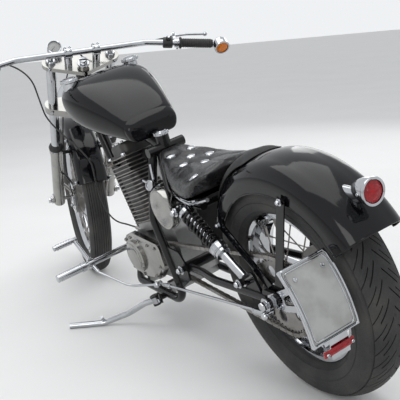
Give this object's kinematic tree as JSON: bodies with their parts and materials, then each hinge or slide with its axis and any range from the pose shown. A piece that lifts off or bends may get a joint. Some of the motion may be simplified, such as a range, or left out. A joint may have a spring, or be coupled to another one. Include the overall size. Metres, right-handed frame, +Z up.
{
  "type": "chopper motorcycle",
  "caption": "Chopper motorcycle with a finned upright engine, laced wheels, wide rear fender, tufted saddle and side-hung plate, leaning on its side stand.",
  "frame": {"origin": "middle of the whole box, on the floor", "axes": "+X towards the front wheel, +Y to the rider's left, +Z up; the bike leans 13 degrees to its left and its steering is turned 16 degrees to the right"},
  "size_m": [2.2171, 1.0486, 0.9817],
  "materials": {
    "frame_black": "gloss",
    "gloss_black": "high gloss",
    "engine_black": "satin",
    "polished": "polished",
    "cast_alloy": "cast",
    "chrome": "mirror",
    "steel": "oily",
    "tyre": "tread",
    "rubber": "soft",
    "vinyl": "tufted",
    "pad_black": "matte",
    "black_plastic": "satin",
    "red_lens": "clear",
    "amber_lens": "clear",
    "plate": "blank",
    "lamp_glass": "clear"
  },
  "bodies": {
    "frame": {"main_frame": "frame_black", "cradle_tubes": "frame_black", "rear_frame": "frame_black", "swing_arm": "frame_black", "shock_bodies": "chrome", "shock_springs": "frame_black", "crankcase": "cast_alloy", "left_cover": "polished", "cylinder": "engine_black", "cylinder_head": "engine_black", "carburettor": "cast_alloy", "intake_hose": "rubber", "air_filter": "chrome", "exhaust": "chrome", "battery_box": "black_plastic", "fuel_tank": "gloss_black", "filler_caps": "chrome", "rear_fender": "gloss_black", "fender_pad": "pad_black", "seat": "vinyl", "seat_pan": "chrome", "tail_lamp": "chrome", "tail_lens": "red_lens", "plate_frame": "chrome", "number_plate": "plate", "reflector": "red_lens", "drive_chain": "steel", "left_controls": "chrome", "right_controls": "chrome"},
    "front_end": {"fork_tubes": "chrome", "fork_sliders": "polished", "lower_yoke": "polished", "top_yoke": "polished", "handlebar": "chrome", "bar_grips": "rubber", "signal_lenses": "amber_lens", "speedometer": "chrome", "headlight": "chrome", "headlight_lens": "lamp_glass", "front_fender": "gloss_black"},
    "front_wheel": {"front_tyre": "tyre", "front_rim": "chrome", "front_hub": "steel"},
    "rear_wheel": {"rear_tyre": "tyre", "rear_rim": "chrome", "rear_hub": "steel", "rear_sprocket": "steel"},
    "stand": {"side_stand": "chrome"}
  },
  "joints": [
    {"name": "steering", "type": "hinge", "parent": "frame", "child": "front_end", "pos_m": [0.42727, -0.03807, 0.73345], "axis": [-0.5909, 0.182, 0.786], "range_deg": [-16, 48]},
    {"name": "front_wheel_spin", "type": "hinge", "parent": "front_end", "child": "front_wheel", "pos_m": [0.78597, -0.14417, 0.33045], "axis": [0.2232, 0.9731, -0.0575], "continuous": true},
    {"name": "rear_wheel_spin", "type": "hinge", "parent": "frame", "child": "rear_wheel", "pos_m": [-0.76257, -0.13365, 0.31474], "axis": [0.0009, 0.9744, -0.2249], "continuous": true},
    {"name": "side_stand_fold", "type": "hinge", "parent": "frame", "child": "stand", "pos_m": [-0.05774, -0.02574, 0.1048], "axis": [0.1566, 0.3185, 0.9349], "range_deg": [0, 115]}
  ]
}
